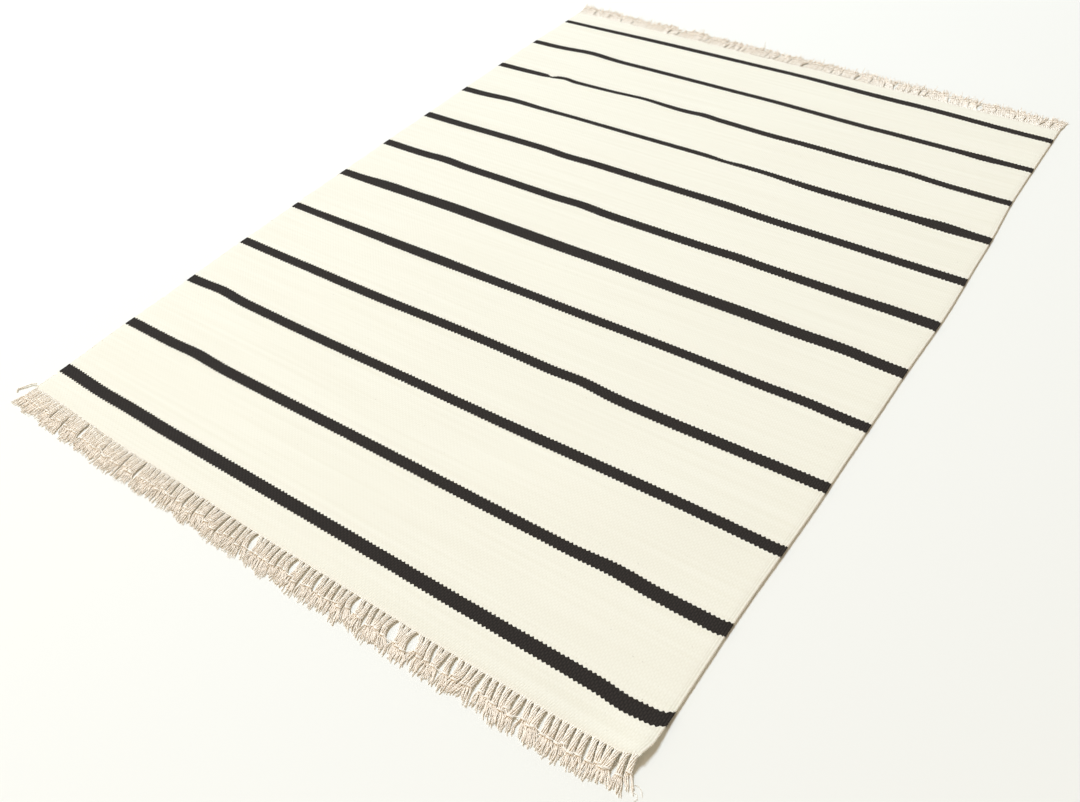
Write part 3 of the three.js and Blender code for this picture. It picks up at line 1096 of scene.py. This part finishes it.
def cotton_yarn():
    """Undyed cotton warp yarn: cream by the cloth and beige at its end, in uneven shades, with the relief
    of its plies and painted shade between them."""
    material, tree, shader = new_material("cotton_warp_yarn", SOFT_SHADER)
    along = attribute(tree, "yarn_along")
    side, other, _ = add_node(tree, "ShaderNodeSeparateXYZ", {0: attribute(tree, "yarn_around", "Vector")})
    turn = math_node(tree, "MULTIPLY", along, 2 * math.pi / PLY_PITCH)
    side = math_node(tree, "MULTIPLY", side, math_node(tree, "COSINE", turn))
    other = math_node(tree, "MULTIPLY", other, math_node(tree, "SINE", turn))
    ply = ranged(tree, math_node(tree, "ADD", side, other), -YARN_RADIUS, YARN_RADIUS)
    plain = mixed(tree, ranged(tree, along, *COTTON_CHANGE), COTTON_ROOT, COTTON_END)
    uneven = mixed(tree, attribute(tree, "yarn_shade"), DARK_YARN, PALE_YARN)
    # Painted shade: darker in the hollows between the plies
    shaded = mixed(tree, 1.0, uneven, mixed(tree, ply, PLY_PAINTED_SHADE, WHITE), "MULTIPLY")
    colour = mixed(tree, 1.0, plain, shaded, "MULTIPLY")
    set_inputs(tree, shader, {"Base Color": colour, "Normal": bump_normal(tree, ply, COTTON_BUMP)})
    return material


def studio_floor():
    """A plain pale floor, just under the rug."""
    half = FLOOR_SIZE / 2
    mesh = bpy.data.meshes.new("floor")
    corners = [(-half, -half), (half, -half), (half, half), (-half, half)]
    mesh.from_pydata([(x, y, -FLOOR_DROP) for x, y in corners], [], [(0, 1, 2, 3)])
    material, tree, shader = new_material("studio_floor", FLOOR_SHADER)
    distance = add_node(tree, "ShaderNodeVectorMath", {0: object_place(tree)}, operation="LENGTH")["Value"]
    glow = mixed(tree, ranged(tree, distance, *GLOW_REACH), NO_GLOW, GLOW_COLOUR)
    set_inputs(tree, shader, {"Emission Color": glow})
    mesh.materials.append(material)
    return new_object("floor", mesh)


def studio_light():
    """A warm light from above, pale near the horizon, and the lamps, aimed at the middle of the rug."""
    world = bpy.data.worlds.new("studio")
    world.use_nodes = True
    tree = world.node_tree
    direction = add_node(tree, "ShaderNodeTexCoord")["Generated"]
    height = add_node(tree, "ShaderNodeSeparateXYZ", {0: direction})["Z"]
    low, high = (math.sin(math.radians(angle)) for angle in HORIZON_ANGLES)
    colour = mixed(tree, ranged(tree, height, low, high), HORIZON_COLOUR, ROOM_COLOUR)
    set_inputs(tree, tree.nodes["Background"], {"Color": colour})
    bpy.context.scene.world = world
    for lamp in LAMPS:
        light = bpy.data.lights.new(lamp["name"], "AREA")
        light.size = lamp["size"]
        light.color = lamp["colour"]
        light.energy = lamp["power"]
        placed = new_object(lamp["name"], light)
        placed.location = lamp["place"]
        placed.rotation_euler = (-Vector(lamp["place"])).to_track_quat("-Z", "Y").to_euler()


def photo_camera():
    """The camera at the photograph's viewing angle."""
    data = bpy.data.cameras.new("camera")
    data.sensor_width = CAMERA_SENSOR
    data.lens = CAMERA_LENS
    camera = new_object("camera", data)
    heading = Matrix.Rotation(math.radians(CAMERA_HEADING), 4, "Z")
    down = Matrix.Rotation(math.radians(90 - CAMERA_DOWN), 4, "X")
    roll = Matrix.Rotation(math.radians(CAMERA_ROLL), 4, "Z")
    camera.matrix_world = Matrix.Translation(CAMERA_PLACE) @ heading @ down @ roll
    bpy.context.scene.camera = camera


photo_camera()
studio_light()
bpy.context.scene.view_settings.view_transform = "Standard"
floor = studio_floor()

weave = weave_group()
cotton = cotton_yarn()
yarns = yarn_tree()
turns = turn_tree()

for fringe in (NEAR_FRINGE, FAR_FRINGE):
    values = {"Seed": fringe["seed"], "Material": cotton}
    piece = grown_mesh(fringe_guides(fringe), yarns, fringe["name"], values)
    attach(piece, "root")
    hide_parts(fringe["solid"])

cream_parts = cream_strips()
cream_dye = cream_wool(weave)
cream = new_object("cream_weft", woven_mesh("cream_weft", cream_parts, CREAM_RIB_DEPTH))
cream.data.materials.append(cream_dye)
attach(cream, "root")
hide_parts("woven_field")

black_parts = black_strips()
black_dye = black_wool(weave)
black = new_object("black_weft_bands", woven_mesh("black_weft_bands", black_parts, BLACK_RIB_DEPTH))
black.data.materials.append(black_dye)
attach(black, "root")

for name, slot, dye in (
    ("cream_selvedge_turns", "cream_wool", cream_dye),
    ("black_selvedge_turns", "black_wool", black_dye),
):
    guides = turn_guides(name, slot == "black_wool")
    piece = grown_mesh(guides, turns, name, {"Seed": TURN_SEED, "Material": dye})
    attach(piece, "root")
